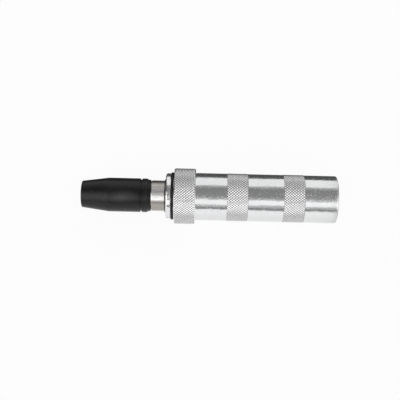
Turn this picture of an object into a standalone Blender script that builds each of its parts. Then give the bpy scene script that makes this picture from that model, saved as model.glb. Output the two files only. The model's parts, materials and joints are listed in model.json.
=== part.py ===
"""A hand impact driver, lying on its side with its axis along X and the bit end at -X.

Struck on its tail, the body slides forward over the spindle. A cross pin in the body then runs down one flank of
the spindle's V-shaped windows and turns the spindle, and with it the holder on its square drive.
Lengths are in metres, +Z is up, and the part stands on Z = 0 at its knurled collar.
"""

from math import atan, cos, floor, pi, radians, sin, sqrt, tan

import bmesh
import bpy
from mathutils import Matrix, Vector

# Fits
seat_gap = 0.0003  # between pieces that touch
overrun = 0.002  # how far a cutter reaches past what it cuts
weld_distance = 1e-7

# Turned body
body_length = 0.1116
body_diameter = 0.0310
body_edge_radius = 0.0008
bore_depth = 0.0702
bore_drill_angle_deg = 59.0

# Front rim of the body, with the seal inside it and the ring behind it
rim_step = 0.0006  # how much smaller in radius the rim and the seat of the collar are
rim_length = 0.0030
rim_edge_radius = 0.0013
seal_radial_width = 0.0014
seal_length = 0.0024
seal_proud = 0.0008
ring_section = 0.0018
ring_proud = 0.0008

# Sleeve over the cross pin
collar_wall = 0.0031
collar_length = 0.0140
collar_edge_radius = 0.0010

# Knurled grip bands on the body
band_height = 0.0002
band_length = 0.0136
band_spacing = 0.0231
band_edge_chamfer = 0.0002
tail_plain_length = 0.0214

# Cross pin and the motion that it gives
pin_diameter = 0.0060
pin_end_recess = 0.0004
pin_end_chamfer = 0.0005
stroke = 0.0060
turn_deg = 25.0

# Spindle
spindle_diameter = 0.0200
spindle_exposed_length = 0.0100
spindle_rear_guide = 0.0100
spindle_chamfer = 0.0008

# Square drive, which the holder pushes on to
drive_width = 0.0127
drive_corner_diameter = 0.0164
drive_length = 0.0150
drive_chamfer = 0.0009

# Ball that keeps the holder on the square drive
ball_diameter = 0.0040
ball_proud = 0.00025
ball_from_tip = 0.0066
ball_hole_depth = 0.0096
ball_lip_depth = 0.0012
ball_recess_depth = 0.0006
ball_spring_wire = 0.0005
ball_spring_pitch = 0.0011

# Thrust washer and return spring
washer_thickness = 0.0020
washer_bore_diameter = 0.0100
spring_wire = 0.0022
spring_side_play = 0.0013
spring_pitch = 0.0050
spring_end_pitch = 0.0030

# Bit holder
holder_length = 0.0452
holder_wall = 0.0023
nose_diameter = 0.0175
nose_taper_length = 0.0176
nose_chamfer = 0.0004
holder_step_length = 0.0016  # the rear is turned down a little where it meets the spindle
holder_step_depth = 0.0007
holder_step_chamfer = 0.0009
holder_rear_chamfer = 0.0003
holder_groove_from_rear = 0.0062
holder_groove_width = 0.0012
holder_groove_depth = 0.0008
hex_across_flats = 0.0081
hex_depth = 0.0180
hex_lead_in = 0.0005

# Snap ring in the hex socket
clip_wire = 0.0009
clip_proud = 0.00015
clip_from_nose = 0.0044
clip_gap_deg = 40.0

# Facets
round_sides = 64
pin_sides = 24
ball_rings = 10
ring_section_sides = 8
coil_points = 12
arc_steps = 4
window_steps = 5
window_end_deg = 75.0  # how far round its corners the window's cutter follows them
edge_share = 0.8  # the most of a wall that its rounded edge may take
flat_share = 0.999  # the most of a square's side that stays flat, so that its corners never meet

# Stations along the axis, from the nose to the tail
overall_length = holder_length + spindle_exposed_length + body_length
nose_x = -overall_length / 2
holder_rear_x = nose_x + holder_length
body_front_x = holder_rear_x + spindle_exposed_length
tail_x = body_front_x + body_length
ring_groove_x = body_front_x + rim_length
collar_front_x = ring_groove_x + ring_section + 2 * seat_gap
collar_rear_x = collar_front_x + collar_length
shoulder_x = collar_rear_x + seat_gap
pin_x = (collar_front_x + collar_rear_x) / 2
bore_end_x = body_front_x + bore_depth
seal_pocket_x = body_front_x + seal_length - seal_proud + seat_gap

# Radii
body_radius = body_diameter / 2
rim_radius = body_radius - rim_step
ring_centre_radius = rim_radius + ring_proud - ring_section / 2
collar_bore_radius = rim_radius + seat_gap
collar_radius = collar_bore_radius + collar_wall
spindle_radius = spindle_diameter / 2
bore_radius = spindle_radius + seat_gap
seal_pocket_radius = bore_radius + seal_radial_width + seat_gap
pin_radius = pin_diameter / 2
pin_half_length = rim_radius - pin_end_recess
ball_radius = ball_diameter / 2
socket_corner_radius = drive_corner_diameter / 2 + 2 * seat_gap
holder_radius = socket_corner_radius + holder_wall
clip_inside_radius = hex_across_flats / 2 - clip_proud

# The flat at the bottom of the collar lies on the ground
axis_height = collar_radius * cos(pi / round_sides)

# Window in the spindle, as the pin's path widened by the pin and its gap
window_reach = pin_radius + seat_gap
apex_x = pin_x - stroke
flank_angle = atan(spindle_radius * radians(turn_deg) / stroke)
spindle_front_x = holder_rear_x + seat_gap
spindle_rear_x = pin_x + window_reach + spindle_rear_guide
drive_tip_x = spindle_front_x - drive_length
ball_x = drive_tip_x + ball_from_tip

# Washer and spring behind the spindle
washer_front_x = spindle_rear_x + seat_gap
washer_rear_x = washer_front_x + washer_thickness
spring_front_x = washer_rear_x + seat_gap
spring_rear_x = bore_end_x - seat_gap


def finish(piece, name, colour, roughness, metallic):
    """Gives a piece its own material."""
    material = bpy.data.materials.new(name)
    material.use_nodes = True
    shader = material.node_tree.nodes["Principled BSDF"]
    shader.inputs["Base Color"].default_value = (*colour, 1)
    shader.inputs["Roughness"].default_value = roughness
    shader.inputs["Metallic"].default_value = metallic
    material.diffuse_color = (*colour, 1)
    piece.data.materials.append(material)


def add_mesh(name, bm):
    """Makes an object on the driver's axis from a bmesh, shaded smooth except at its sharp edges."""
    bmesh.ops.remove_doubles(bm, verts=bm.verts, dist=weld_distance)
    bmesh.ops.recalc_face_normals(bm, faces=bm.faces)
    mesh = bpy.data.meshes.new(name)
    bm.to_mesh(mesh)
    bm.free()
    mesh.shade_smooth()
    mesh.set_sharp_from_angle(angle=radians(35))
    piece = bpy.data.objects.new(name, mesh)
    bpy.context.collection.objects.link(piece)
    piece.parent = driver_axis
    return piece


def arc(centre_x, centre_radius, radius, start_deg, end_deg):
    """Points of an arc in the outline's plane, angles counted from +X towards larger radius."""
    angles = [radians(start_deg + (end_deg - start_deg) * i / arc_steps) for i in range(arc_steps + 1)]
    return [(centre_x + radius * cos(a), centre_radius + radius * sin(a)) for a in angles]


def revolve(name, outline, sides=round_sides):
    """A turned piece: an outline of (x, radius) points spun about the axis, with a flat facet at the bottom."""
    bm = bmesh.new()
    tilt = Matrix.Rotation(pi / sides, 4, "X")
    points = [bm.verts.new(tilt @ Vector((x, 0, r))) for x, r in outline]
    edges = [bm.edges.new(pair) for pair in zip(points, points[1:])]
    if outline[0][1] > 0 or outline[-1][1] > 0:
        edges.append(bm.edges.new((points[-1], points[0])))
    bmesh.ops.spin(
        bm,
        geom=points + edges,
        cent=(0, 0, 0),
        axis=(1, 0, 0),
        angle=2 * pi,
        steps=sides,
        use_merge=True,
    )
    return add_mesh(name, bm)


def loft(name, sections):
    """A closed solid through sections that have the same number of points."""
    bm = bmesh.new()
    rings = [[bm.verts.new(point) for point in section] for section in sections]
    for ring, following in zip(rings, rings[1:]):
        for i, point in enumerate(ring):
            j = (i + 1) % len(ring)
            bm.faces.new((point, ring[j], following[j], following[i]))
    bm.faces.new(rings[0])
    bm.faces.new(reversed(rings[-1]))
    return add_mesh(name, bm)


def combine(piece, tool, operation="DIFFERENCE"):
    """Cuts a piece with a tool, or joins the tool to it, and keeps the tool as a hidden guide."""
    step = piece.modifiers.new(tool.name, "BOOLEAN")
    step.operation = operation
    step.solver = "EXACT"
    step.object = tool
    tool.hide_render = True
    tool.display_type = "WIRE"
    return piece


def square_section(x, half_width, corner_radius):
    """A square across X whose corners are turned down to a circle, where they would reach past it."""
    reach = min(corner_radius, half_width * sqrt(2))
    corner = sqrt(max(reach**2 - half_width**2, 0))
    corner = min(corner, half_width * flat_share)
    quarter = [(half_width, corner), (corner, half_width)]
    points = []
    for turn in range(4):
        c, s = cos(turn * pi / 2), sin(turn * pi / 2)
        points += [Vector((x, c * y - s * z, s * y + c * z)) for y, z in quarter]
    return points


def hexagon_section(x, across_flats):
    corner = across_flats / 2 / cos(pi / 6)
    return [Vector((x, corner * cos(i * pi / 3), corner * sin(i * pi / 3))) for i in range(6)]


def wire(name, points, diameter):
    """Round wire bent through the points."""
    curve = bpy.data.curves.new(name, "CURVE")
    curve.dimensions = "3D"
    curve.bevel_depth = diameter / 2
    curve.bevel_resolution = 1
    curve.use_fill_caps = True
    spline = curve.splines.new("POLY")
    spline.use_smooth = True
    spline.points.add(len(points) - 1)
    for target, point in zip(spline.points, points):
        target.co = (*point, 1)
    piece = bpy.data.objects.new(name, curve)
    bpy.context.collection.objects.link(piece)
    piece.parent = driver_axis
    return piece


def coil(name, length, mean_diameter, wire_diameter, pitch, end_pitch):
    """A compression spring along +Z from 0 to length: even turns between one closer turn at each end."""
    rise = length - wire_diameter
    ends = min(2 * end_pitch, rise / 2)
    middle_turns = max(1, floor((rise - ends) / pitch))
    turns = middle_turns + 2
    steps = turns * coil_points
    points = []
    for i in range(steps + 1):
        turn = i / coil_points
        if turn <= 1:
            share = turn * ends / 2
        elif turn >= turns - 1:
            share = rise - (turns - turn) * ends / 2
        else:
            share = ends / 2 + (turn - 1) * (rise - ends) / middle_turns
        angle = 2 * pi * turn
        radius = mean_diameter / 2
        points.append(Vector((radius * cos(angle), radius * sin(angle), wire_diameter / 2 + share)))
    apart = [
        (points[i] - points[j]).length
        for i in range(len(points))
        for j in range(i + coil_points // 2, len(points))
    ]
    print(f"{name}: {turns} turns, least gap to itself {1000 * (min(apart) - wire_diameter):.2f} mm")
    return points


def make_body():
    edge = body_edge_radius
    rim_edge = min(rim_edge_radius, edge_share * (rim_radius - seal_pocket_radius))
    cone_depth = bore_radius / tan(radians(bore_drill_angle_deg))
    groove_radius = ring_centre_radius - ring_section / 2 - seat_gap
    outline = [(bore_end_x + cone_depth, 0), (bore_end_x, bore_radius)]
    outline += [(seal_pocket_x, bore_radius), (seal_pocket_x, seal_pocket_radius)]
    outline += [(body_front_x, seal_pocket_radius)]
    outline += arc(body_front_x + rim_edge, rim_radius - rim_edge, rim_edge, 180, 90)
    outline += [(ring_groove_x, rim_radius), (ring_groove_x, groove_radius)]
    outline += [(collar_front_x, groove_radius), (collar_front_x, rim_radius)]
    outline += [(shoulder_x, rim_radius), (shoulder_x, body_radius)]
    outline += arc(tail_x - edge, body_radius - edge, edge, 90, 0)
    outline += [(tail_x, 0)]
    body = revolve("handle_body", outline)

    rear_band_x = tail_x - tail_plain_length - band_length
    for place, start in (("front", rear_band_x - band_spacing - band_length), ("rear", rear_band_x)):
        combine(body, make_band(f"{place}_band", start), "UNION")

    hole = revolve("pin_hole", pin_outline(collar_radius, pin_radius + seat_gap, 0), pin_sides)
    hole.rotation_euler.z = pi / 2
    hole.location.x = pin_x
    combine(body, hole)
    finish(body, "bright_plate", (0.62, 0.62, 0.63), 0.18, 1)
    return body


def make_band(name, start_x):
    """One raised grip band, a ring that reaches into the body it is joined to."""
    end_x = start_x + band_length
    top = body_radius + band_height
    chamfer = band_edge_chamfer
    inside = bore_radius + (body_radius - bore_radius) / 2
    outline = [(start_x, inside), (start_x, top - chamfer), (start_x + chamfer, top)]
    outline += [(end_x - chamfer, top), (end_x, top - chamfer), (end_x, inside)]
    return revolve(name, outline)


def pin_outline(half_length, radius, chamfer):
    outline = [(-half_length, 0), (-half_length, radius - chamfer)]
    if chamfer:
        outline += [(-half_length + chamfer, radius), (half_length - chamfer, radius)]
    return outline + [(half_length, radius - chamfer), (half_length, 0)]


def make_drive_pin():
    """The cross pin lies level, under the collar, and runs right through the body."""
    pin = revolve("drive_pin", pin_outline(pin_half_length, pin_radius, pin_end_chamfer), pin_sides)
    pin.rotation_euler.z = pi / 2
    pin.location.x = pin_x
    finish(pin, "hard_pin", (0.42, 0.42, 0.43), 0.3, 1)
    return pin


def make_collar():
    edge = collar_edge_radius
    outline = [(collar_rear_x, collar_bore_radius), (collar_front_x, collar_bore_radius)]
    outline += arc(collar_front_x + edge, collar_radius - edge, edge, 180, 90)
    outline += arc(collar_rear_x - edge, collar_radius - edge, edge, 90, 0)
    collar = revolve("knurled_collar", outline)
    finish(collar, "plated_knurl", (0.55, 0.55, 0.56), 0.28, 1)
    return collar


def make_collar_ring():
    """Round-section ring in the groove behind the rim, which keeps the collar on."""
    section = ring_section / 2
    centre_x = ring_groove_x + seat_gap + section
    outline = []
    for i in range(ring_section_sides):
        angle = 2 * pi * i / ring_section_sides
        outline.append((centre_x + section * cos(angle), ring_centre_radius + section * sin(angle)))
    ring = revolve("collar_ring", outline)
    finish(ring, "black_rubber", (0.012, 0.012, 0.013), 0.55, 0)
    return ring


def make_wiper_seal():
    """Ring in the mouth of the body, with a lip that leans towards the spindle."""
    inside = spindle_radius + seat_gap
    outside = inside + seal_radial_width
    rear_x = seal_pocket_x - seat_gap
    front_x = rear_x - seal_length
    lip = seal_radial_width / 2
    outline = [(rear_x, inside), (front_x, inside), (front_x, inside + lip)]
    outline += [(front_x + seal_proud, outside), (rear_x, outside)]
    seal = revolve("wiper_seal", outline)
    finish(seal, "seal_rubber", (0.010, 0.010, 0.011), 0.6, 0)
    return seal


def window_half_width(x):
    """Half the width of the straight slot that the pin needs at station x, on the spindle's skin."""
    reach, tip = window_reach, window_reach * sin(flank_angle)
    ahead = apex_x - x
    if ahead > tip:
        return sqrt(max(reach**2 - ahead**2, 0))
    if ahead > 0:
        return reach / cos(flank_angle) - ahead * tan(flank_angle)
    before_rest = pin_x - x
    if before_rest > tip:
        return reach / cos(flank_angle)
    corner = sqrt(max(reach**2 - before_rest**2, 0))
    return corner + max(before_rest, 0) * tan(flank_angle)


def window_section(x):
    """The slots for every pin angle allowed at station x, as one six-sided butterfly."""
    spread = radians(turn_deg) * min(max((x - apex_x) / stroke, 0), 1)
    half = window_half_width(x)
    far = (spindle_radius + overrun + half * sin(spread)) / cos(spread)
    waist = half / cos(spread)
    side = far * sin(spread) + half * cos(spread)
    top = far * cos(spread) - half * sin(spread)
    return [(waist, 0), (side, top), (-side, top), (-waist, 0), (-side, -top), (side, -top)]


def even(first, last, steps):
    """Evenly spaced values from first to last, without the first."""
    return [first + (last - first) * i / steps for i in range(1, steps + 1)]


def window_stations():
    """Stations from the window's round front end, down its flanks and round its rear corners."""
    end, tip = radians(window_end_deg), flank_angle
    rounds = [end] + even(end, tip, window_steps)
    stations = [apex_x - window_reach * sin(angle) for angle in rounds]
    stations += [apex_x] + even(apex_x, pin_x - window_reach * sin(tip), window_steps)
    corners = even(-tip, 0, window_steps) + even(0, end, window_steps)
    return stations + [pin_x + window_reach * sin(angle) for angle in corners]


def make_spindle():
    chamfer = spindle_chamfer
    outline = [(spindle_front_x, 0), (spindle_front_x, spindle_radius - chamfer)]
    outline += [(spindle_front_x + chamfer, spindle_radius), (spindle_rear_x - chamfer, spindle_radius)]
    outline += [(spindle_rear_x, spindle_radius - chamfer), (spindle_rear_x, 0)]
    spindle = revolve("spindle", outline)

    half, corner = drive_width / 2, drive_corner_diameter / 2
    square = loft(
        "square_drive",
        [
            square_section(drive_tip_x, half - drive_chamfer, corner - drive_chamfer),
            square_section(drive_tip_x + drive_chamfer, half, corner),
            square_section(spindle_front_x + overrun, half, corner),
        ],
    )
    combine(spindle, square, "UNION")

    # The pin lies along Y and rests against the flank that loosens, so the window's own middle is turned back
    turned_back = Matrix.Rotation(-radians(turn_deg), 4, "X")
    sections = []
    for x in window_stations():
        sections.append([turned_back @ Vector((x, along, across)) for across, along in window_section(x)])
    combine(spindle, loft("pin_window", sections))

    bore = revolve("ball_hole", ball_hole_outline(), pin_sides)
    bore.rotation_euler.y = pi / 2
    bore.location.x = ball_x
    combine(spindle, bore)
    finish(spindle, "ground_steel", (0.60, 0.59, 0.57), 0.22, 1)
    return spindle


def ball_hole_outline():
    """Hole for the ball, as (distance from the axis, radius), with its mouth staked in over the ball."""
    face = drive_width / 2
    hole = ball_radius + seat_gap
    mouth = sqrt(ball_radius**2 - (ball_radius - ball_proud) ** 2) + seat_gap
    outline = [(face - ball_hole_depth, 0), (face - ball_hole_depth, hole), (face - ball_lip_depth, hole)]
    return outline + [(face, mouth), (face + overrun, mouth), (face + overrun, 0)]


def make_ball():
    """The ball stands out of the drive's lower face by less than the play in the socket."""
    rings = [pi * i / ball_rings for i in range(1, ball_rings)]
    outline = [(-ball_radius, 0)]
    outline += [(-ball_radius * cos(a), ball_radius * sin(a)) for a in rings]
    outline += [(ball_radius, 0)]
    ball = revolve("detent_ball", outline, pin_sides)
    ball.rotation_euler.y = pi / 2
    ball.location = (ball_x, 0, ball_radius - ball_proud - drive_width / 2)
    finish(ball, "bearing_steel", (0.50, 0.50, 0.51), 0.12, 1)
    return ball


def make_ball_spring():
    length = ball_hole_depth - ball_diameter + ball_proud - 2 * seat_gap
    mean = ball_diameter - ball_spring_wire - 2 * seat_gap
    points = coil("detent_spring", length, mean, ball_spring_wire, ball_spring_pitch, ball_spring_pitch)
    spring = wire("detent_spring", points, ball_spring_wire)
    spring.location = (ball_x, 0, ball_diameter - ball_proud - drive_width / 2 + seat_gap)
    finish(spring, "spring_wire_fine", (0.30, 0.30, 0.31), 0.35, 1)
    return spring


def make_washer():
    outer = spindle_radius - seat_gap
    outline = [(washer_front_x, washer_bore_diameter / 2), (washer_front_x, outer)]
    outline += [(washer_rear_x, outer), (washer_rear_x, washer_bore_diameter / 2)]
    washer = revolve("thrust_washer", outline)
    finish(washer, "hard_washer", (0.45, 0.45, 0.46), 0.25, 1)
    return washer


def make_return_spring():
    length = spring_rear_x - spring_front_x
    mean = 2 * (bore_radius - spring_side_play) - spring_wire
    points = coil("return_spring", length, mean, spring_wire, spring_pitch, spring_end_pitch)
    spring = wire("return_spring", points, spring_wire)
    spring.rotation_euler.y = pi / 2
    spring.location.x = spring_front_x
    finish(spring, "spring_wire", (0.20, 0.20, 0.21), 0.4, 1)
    return spring


def make_bit_holder():
    chamfer = nose_chamfer
    nose_radius = nose_diameter / 2
    taper_end_x = nose_x + nose_taper_length
    groove_x = holder_rear_x - holder_groove_from_rear
    half_groove = holder_groove_width / 2
    groove_radius = holder_radius - holder_groove_depth
    outline = [(nose_x, 0), (nose_x, nose_radius - chamfer), (nose_x + chamfer, nose_radius)]
    outline += [(taper_end_x, holder_radius)]
    outline += [(groove_x - half_groove, holder_radius), (groove_x - half_groove, groove_radius)]
    outline += [(groove_x + half_groove, groove_radius), (groove_x + half_groove, holder_radius)]
    step_x, step_radius = holder_rear_x - holder_step_length, holder_radius - holder_step_depth
    outline += [(step_x - holder_step_chamfer, holder_radius), (step_x, step_radius)]
    outline += [(holder_rear_x - holder_rear_chamfer, step_radius)]
    outline += [(holder_rear_x, step_radius - holder_rear_chamfer), (holder_rear_x, 0)]
    holder = revolve("bit_holder", outline)

    mouth = hex_across_flats + 2 * hex_lead_in
    hex_end_x = nose_x + hex_depth
    hex_socket = loft(
        "hex_socket",
        [
            hexagon_section(nose_x - overrun, mouth),
            hexagon_section(nose_x, mouth),
            hexagon_section(nose_x + hex_lead_in, hex_across_flats),
            hexagon_section(hex_end_x, hex_across_flats),
        ],
    )
    combine(holder, hex_socket)

    half, corner = drive_width / 2 + seat_gap, socket_corner_radius
    socket_end_x = drive_tip_x - seat_gap
    square_socket = loft(
        "square_socket",
        [
            square_section(socket_end_x, half, corner),
            square_section(holder_rear_x + overrun, half, corner),
        ],
    )
    combine(holder, square_socket)

    clip_outside = clip_inside_radius + clip_wire + seat_gap
    clip_inside = clip_inside_radius - clip_wire
    clip_x = nose_x + clip_from_nose
    reach = clip_wire / 2 + seat_gap
    groove = revolve(
        "clip_groove",
        [
            (clip_x - reach, clip_inside),
            (clip_x - reach, clip_outside),
            (clip_x + reach, clip_outside),
            (clip_x + reach, clip_inside),
        ],
    )
    combine(holder, groove)

    recess_top = half + ball_recess_depth
    recess = revolve("ball_recess", pin_outline(recess_top / 2, ball_radius + seat_gap, 0), pin_sides)
    recess.rotation_euler.y = pi / 2
    recess.location = (ball_x, 0, -recess_top / 2)
    combine(holder, recess)
    finish(holder, "black_oxide", (0.020, 0.020, 0.021), 0.42, 0.6)
    return holder


def make_bit_clip():
    """Open snap ring in the hex socket's groove, its gap upwards."""
    radius = clip_inside_radius + clip_wire / 2
    start, sweep = radians(90 + clip_gap_deg / 2), radians(360 - clip_gap_deg)
    points = []
    for i in range(round_sides // 2 + 1):
        angle = start + sweep * i / (round_sides // 2)
        points.append(Vector((nose_x + clip_from_nose, radius * cos(angle), radius * sin(angle))))
    clip = wire("bit_clip", points, clip_wire)
    finish(clip, "clip_wire", (0.35, 0.35, 0.36), 0.3, 1)
    return clip


for old in list(bpy.data.objects):
    bpy.data.objects.remove(old, do_unlink=True)

driver_axis = bpy.data.objects.new("driver_axis", None)
bpy.context.collection.objects.link(driver_axis)
driver_axis.location.z = axis_height

make_body()
make_drive_pin()
make_collar()
make_collar_ring()
make_wiper_seal()
make_spindle()
make_ball()
make_ball_spring()
make_washer()
make_return_spring()
make_bit_holder()
make_bit_clip()
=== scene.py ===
# %% [markdown]
# # A hand impact driver, dressed for its picture
# The model that this script loads is already right in size and in the way it moves, but it is plain:
# every round piece has flat facets and every finish is one colour. Here each piece that shows gets a fine
# surface and a finish with the marks that the real metal and rubber have. The driver lies along X with its
# bit end at -X, and stands on its knurled collar at Z = 0.

# %% Load the fixed frame
import json

import bmesh
import bpy
import numpy as np
from mathutils import Matrix, Vector


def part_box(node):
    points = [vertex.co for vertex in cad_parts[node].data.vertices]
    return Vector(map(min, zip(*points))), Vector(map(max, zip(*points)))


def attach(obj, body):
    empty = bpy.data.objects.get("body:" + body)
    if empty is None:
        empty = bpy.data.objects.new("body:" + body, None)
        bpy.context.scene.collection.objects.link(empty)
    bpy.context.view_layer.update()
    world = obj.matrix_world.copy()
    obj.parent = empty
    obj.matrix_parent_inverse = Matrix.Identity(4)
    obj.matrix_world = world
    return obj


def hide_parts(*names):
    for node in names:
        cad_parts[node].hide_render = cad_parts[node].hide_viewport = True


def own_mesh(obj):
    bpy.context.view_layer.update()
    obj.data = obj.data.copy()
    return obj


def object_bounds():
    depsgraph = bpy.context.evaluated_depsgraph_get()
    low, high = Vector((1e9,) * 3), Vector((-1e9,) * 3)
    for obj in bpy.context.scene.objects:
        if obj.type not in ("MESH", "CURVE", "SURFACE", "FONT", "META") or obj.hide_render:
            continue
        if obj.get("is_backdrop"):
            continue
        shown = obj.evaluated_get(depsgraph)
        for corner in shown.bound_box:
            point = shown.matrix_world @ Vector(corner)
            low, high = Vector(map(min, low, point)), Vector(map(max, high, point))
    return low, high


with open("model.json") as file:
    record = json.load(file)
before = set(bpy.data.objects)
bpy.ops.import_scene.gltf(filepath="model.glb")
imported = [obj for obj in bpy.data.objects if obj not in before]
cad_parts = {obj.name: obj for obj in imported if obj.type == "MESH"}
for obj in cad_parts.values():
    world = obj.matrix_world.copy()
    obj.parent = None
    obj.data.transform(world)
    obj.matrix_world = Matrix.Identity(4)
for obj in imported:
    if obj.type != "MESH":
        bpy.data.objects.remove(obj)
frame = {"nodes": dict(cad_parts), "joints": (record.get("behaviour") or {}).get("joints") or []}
cad_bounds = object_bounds()
joints = {joint["name"]: joint for joint in frame["joints"]}
axis_z = joints["spindle_turn"]["pos_m"][2]
mm = 0.001
print("axis height", round(axis_z / mm, 3), "mm")

# %% [markdown]
# ## Outlines
# Nearly everything on this tool was made on a lathe, so a piece is first an outline in a plane: points of
# (x, radius) from one end of the piece to the other. Rounded edges are arcs. Long straight runs get extra
# points, because a smooth-shaded surface needs small faces beside each rounded edge to keep the edge crisp.
# A finish wears first at such edges, so a helper also measures how near each point is to them.


# %% Outline helpers
arc_middle = 0.3  # how far in from its sharp corner the middle of a rounded edge lies, per radius


def arc(x, radius, edge, start_deg, end_deg, steps=8):
    """Points on a circle of radius edge about (x, radius): x + edge cos a, radius + edge sin a."""
    angle = np.radians(np.linspace(start_deg, end_deg, steps + 1))
    return np.column_stack([x + edge * np.cos(angle), radius + edge * np.sin(angle)])


def outline(*stretches, step=0.8 * mm):
    """Joins points and arcs into one line, and divides runs longer than step evenly."""
    corners = np.vstack([np.atleast_2d(stretch) for stretch in stretches])
    line = [corners[:1]]
    for start, end in zip(corners, corners[1:]):
        count = max(1, int(np.ceil(np.linalg.norm(end - start) / step)))
        shares = np.linspace(0, 1, count + 1)[1:, None]
        line.append(start + (end - start) * shares)
    return np.vstack(line)


def near(line, *edges, reach=0.35 * mm):
    """How close each outline point is to the nearest edge point: e to the power of -distance / reach."""
    distance = np.linalg.norm(line[:, None, :] - np.array(edges)[None, :, :], axis=2)
    return np.exp(-distance.min(axis=1) / reach)


print("a quarter circle has", len(arc(0, 0, mm, 0, 90)), "points")

# %% [markdown]
# ## Skinning a grid
# A turned piece is a grid: one row for each outline point and one column for each angle. numpy works out all
# points at once, and the faces are only index arithmetic on the same grid. The sign of the enclosed volume
# tells whether the faces point outwards, which is safer than asking for it to be guessed afterwards.


# %% Grid helpers
usual_crease_deg = 32
merge_distance = 0.0005 * mm


def turn(line, sides, centre_z=axis_z):
    """Sweeps (x, radius) about the axis: y = r cos a, z = centre + r sin a. r may differ for each angle."""
    angle = np.linspace(0, 2 * np.pi, sides, endpoint=False)[None, :]
    x, radius = (part if part.ndim == 2 else part[:, None] for part in line)
    y, z = radius * np.cos(angle), centre_z + radius * np.sin(angle)
    return np.stack(np.broadcast_arrays(x, y, z), axis=-1)


def grid_faces(rows, columns, closed, split):
    """Faces between a point, the next one along, the one diagonally on and the one beside it. Each row
    closes on itself. closed joins the last row to the first, and split says for each face which diagonal
    divides it in two."""
    index = np.arange(rows * columns).reshape(rows, columns)
    if closed:
        index = np.vstack([index, index[:1]])
    index = np.hstack([index, index[:, :1]])
    a, b, c, d = index[:-1, :-1], index[1:, :-1], index[1:, 1:], index[:-1, 1:]
    if split is None:
        return np.stack([a, b, c, d], axis=-1).reshape(-1, 4)
    first = np.where(split[..., None], np.stack([a, b, c], -1), np.stack([a, b, d], -1))
    second = np.where(split[..., None], np.stack([a, c, d], -1), np.stack([b, c, d], -1))
    return np.concatenate([first.reshape(-1, 3), second.reshape(-1, 3)])


def outwards(faces, points):
    """Turns every face round if they enclose a negative volume. It is the sum, over the triangles of each
    face, of the first corner dotted with the cross product of the other two."""
    middle = points - points.mean(axis=0)
    corners = [middle[faces[:, k]] for k in range(faces.shape[1])]
    volume = sum(
        np.einsum("ij,ij->", corners[0], np.cross(corners[k], corners[k + 1]))
        for k in range(1, len(corners) - 1)
    )
    return faces[:, ::-1] if volume < 0 else faces


def grid_mesh(name, points, closed=False, split=None, crease_deg=usual_crease_deg, **fields):
    """Skins a grid of points. Each further field is stored on the points, for the finish to read."""
    rows, columns = points.shape[:2]
    flat = points.reshape(-1, 3)
    faces = outwards(grid_faces(rows, columns, closed, split), flat)
    mesh = bpy.data.meshes.new(name)
    mesh.from_pydata(flat, [], faces.tolist())
    for field, values in fields.items():
        layer = mesh.attributes.new(field, "FLOAT", "POINT")
        layer.data.foreach_set("value", np.broadcast_to(values, (rows, columns)).astype(np.float32).ravel())
    return place(name, mesh, crease_deg)


def merged(mesh):
    """Opens a mesh for editing, with points that coincide, such as a pole's, made one."""
    work = bmesh.new()
    work.from_mesh(mesh)
    bmesh.ops.remove_doubles(work, verts=work.verts, dist=merge_distance)
    return work


def shade(mesh, crease_deg):
    """Shades a mesh smooth, but for the edges that bend by more than crease_deg."""
    mesh.shade_smooth()
    mesh.set_sharp_from_angle(angle=np.radians(crease_deg))


def add_object(name, data):
    """Adds a mesh, lamp or camera to the scene, at the origin."""
    thing = bpy.data.objects.new(name, data)
    bpy.context.scene.collection.objects.link(thing)
    return thing


def place(name, mesh, crease_deg):
    """Makes a finished piece of a mesh."""
    work = merged(mesh)
    work.to_mesh(mesh)
    work.free()
    shade(mesh, crease_deg)
    print(name, len(mesh.polygons), "faces")
    return add_object(name, mesh)


def stand_for(piece, body, slot, finish, *nodes):
    """Hangs a finished piece on its body, in place of the plain nodes that it stands for."""
    piece.data.materials.clear()
    piece.data.materials.append(finish)
    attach(piece, body)
    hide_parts(*nodes)


print("a ring of 12 sides is a grid of", turn(arc(0, 5 * mm, mm, 0, 360).T, 12).shape)

# %% [markdown]
# ## Shader sums
# A finish is mostly arithmetic: noise times a strength, one mask times another. Written as nodes that is
# hard to read, so a socket is wrapped in a small class whose operators add the Math nodes.


# %% Shader helpers
class Value:
    """A number socket that can be added, multiplied and so on in Python."""

    def __init__(self, tree, socket):
        self.tree = tree
        self.socket = socket

    def calculate(self, operation, first, second=0.0):
        return self.tree.add("ShaderNodeMath", {0: first, 1: second}, operation=operation)

    def __add__(self, other):
        return self.calculate("ADD", self, other)

    def __sub__(self, other):
        return self.calculate("SUBTRACT", self, other)

    def __rsub__(self, other):
        return self.calculate("SUBTRACT", other, self)

    def __mul__(self, other):
        return self.calculate("MULTIPLY", self, other)

    def __pow__(self, other):
        return self.calculate("POWER", self, other)

    __radd__ = __add__
    __rmul__ = __mul__


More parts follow.
